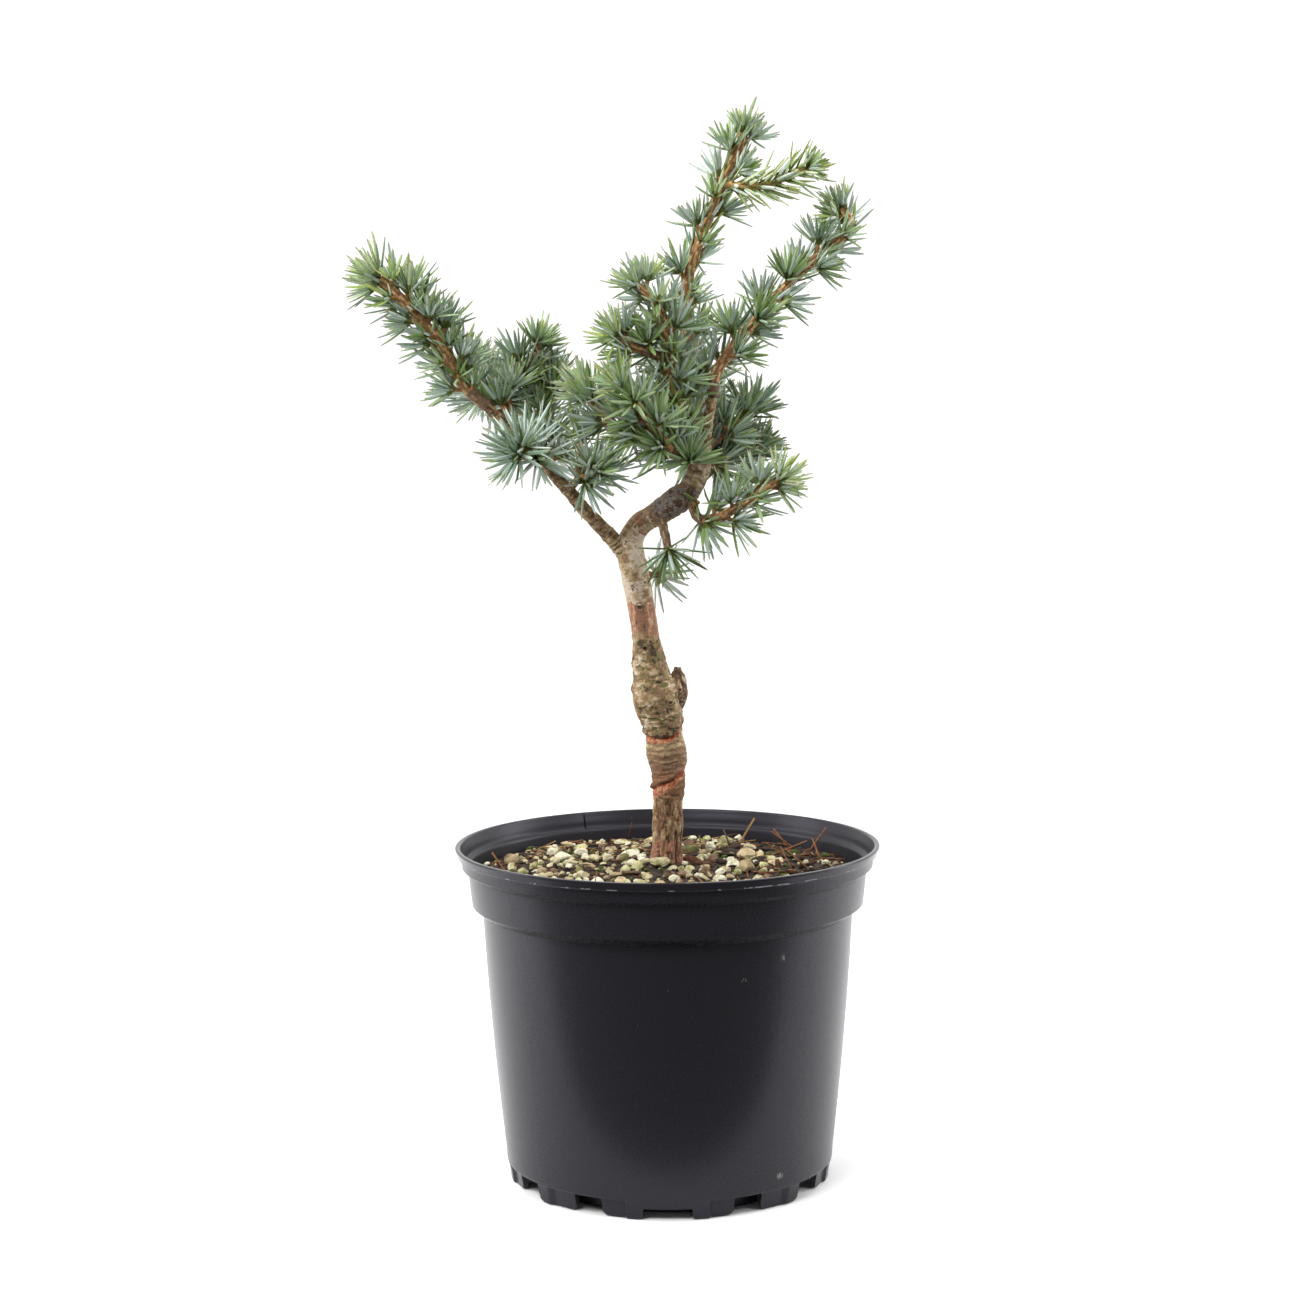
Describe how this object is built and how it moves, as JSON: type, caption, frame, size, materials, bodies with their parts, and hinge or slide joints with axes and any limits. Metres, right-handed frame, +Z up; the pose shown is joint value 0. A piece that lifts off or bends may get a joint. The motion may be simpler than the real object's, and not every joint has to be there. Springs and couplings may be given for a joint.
{
  "type": "potted conifer",
  "caption": "Young blue cedar trained as a bonsai, with a bent grafted trunk, spreading boughs and tufts of stiff needles, in a plain round black nursery pot.",
  "frame": {"origin": "middle of the pot's underside, on the plane that the pot stands on", "axes": "+Z up the pot's axis, -Y towards the side that the plant is seen from, +X to that view's right"},
  "size_m": [0.2399, 0.1896, 0.4823],
  "materials": {
    "pot": "satin",
    "growing_medium": "rough",
    "trunk": "rough bark",
    "bough": "rough bark",
    "foliage": "waxy needles"
  },
  "bodies": {
    "root": {"pot": "pot", "growing_medium": "growing_medium", "trunk": "trunk", "bough_left": "bough", "bough_leader": "bough", "bough_right": "bough", "foliage_left_tip": "foliage", "foliage_left_upright": "foliage", "foliage_left_face": "foliage", "foliage_left_under": "foliage", "foliage_left_inner": "foliage", "foliage_centre_left": "foliage", "foliage_centre_front": "foliage", "foliage_leader": "foliage", "foliage_right_tip": "foliage", "foliage_right_mid": "foliage", "foliage_right_back": "foliage", "foliage_right_low": "foliage", "foliage_crook_spur": "foliage", "foliage_trunk_spur": "foliage", "foliage_back_left": "foliage", "foliage_back_centre": "foliage", "foliage_back_right": "foliage"}
  },
  "joints": []
}
